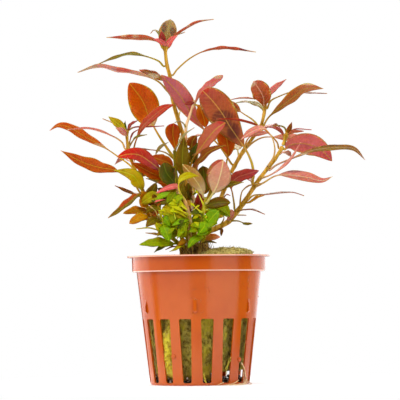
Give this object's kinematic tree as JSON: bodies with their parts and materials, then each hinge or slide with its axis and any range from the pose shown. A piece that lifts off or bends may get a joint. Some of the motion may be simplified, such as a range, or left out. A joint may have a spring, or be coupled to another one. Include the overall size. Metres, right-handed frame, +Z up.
{
  "type": "potted aquarium plant",
  "caption": "Bushy red-leaved stem plant rooted in a rockwool plug, in a tapered slotted plastic net pot with a flanged rim.",
  "frame": {"origin": "centre of the pot's bottom face, on the surface that the pot stands on", "axes": "+Z up along the pot's axis; the plant's best side faces -Y, with +X to its right"},
  "size_m": [0.1215, 0.0605, 0.1424],
  "materials": {
    "pot_plastic": "semi-gloss moulded",
    "rockwool": "fibrous, mossy",
    "old_roots": "rough",
    "pale_root": "satin",
    "blush_stem": "satin",
    "golden_stem": "satin",
    "olive_stem": "satin",
    "stem_pink_stem": "satin",
    "yellow_stem": "satin",
    "blush_leaf": "satin",
    "bronze_leaf": "satin",
    "brown_leaf": "satin",
    "dark_green_leaf": "satin",
    "green_leaf": "satin",
    "grey_leaf": "satin",
    "mauve_leaf": "satin",
    "ochre_leaf": "satin",
    "olive_leaf": "satin",
    "orange_leaf": "satin",
    "pink_leaf": "satin",
    "red_leaf": "satin",
    "salmon_leaf": "satin",
    "wine_leaf": "satin",
    "yellow_leaf": "satin"
  },
  "bodies": {
    "root": {"pot": "pot_plastic", "rockwool": "rockwool", "root_crown": "old_roots", "trailing_root": "pale_root", "tall_stem": "golden_stem", "centre_stem": "stem_pink_stem", "left_centre_stem": "olive_stem", "left_stem": "golden_stem", "right_stem": "golden_stem", "right_back_stem": "golden_stem", "front_left_stem": "blush_stem", "front_centre_stem": "yellow_stem", "left_shoot": "yellow_stem", "front_shoot": "yellow_stem", "back_shoot": "yellow_stem", "top_left_leaf": "salmon_leaf", "top_back_leaf": "grey_leaf", "top_right_leaf": "salmon_leaf", "arching_left_leaf": "olive_leaf", "arching_right_leaf": "salmon_leaf", "drooping_leaf": "olive_leaf", "blunt_leaf": "brown_leaf", "mauve_leaf": "mauve_leaf", "centre_orange_leaf": "orange_leaf", "rolled_leaf": "salmon_leaf", "salmon_leaf": "salmon_leaf", "olive_upright_leaf": "olive_leaf", "dark_brown_leaf": "brown_leaf", "grey_red_leaf": "bronze_leaf", "tan_leaf": "brown_leaf", "wide_olive_leaf": "brown_leaf", "red_orange_leaf": "orange_leaf", "broad_bronze_leaf": "bronze_leaf", "red_arching_leaf": "red_leaf", "striped_pink_leaf": "pink_leaf", "large_pink_leaf": "mauve_leaf", "long_olive_leaf": "brown_leaf", "arched_pink_leaf": "pink_leaf", "low_thin_leaf": "brown_leaf", "wine_leaf": "wine_leaf", "deep_red_leaf": "red_leaf", "big_orange_leaf": "orange_leaf", "bright_red_leaf": "red_leaf", "bright_orange_leaf": "orange_leaf", "dark_green_leaf": "dark_green_leaf", "slanting_red_leaf": "red_leaf", "long_left_leaf": "ochre_leaf", "thin_pink_leaf": "pink_leaf", "orange_left_leaf": "orange_leaf", "yellow_green_leaf": "yellow_leaf", "folded_leaf": "olive_leaf", "ochre_leaf": "ochre_leaf", "coral_leaf": "pink_leaf", "blush_leaf": "blush_leaf", "pale_pink_leaf": "pink_leaf", "green_olive_leaf": "yellow_leaf", "bright_green_leaf": "green_leaf", "low_green_leaf": "green_leaf"}
  },
  "joints": []
}
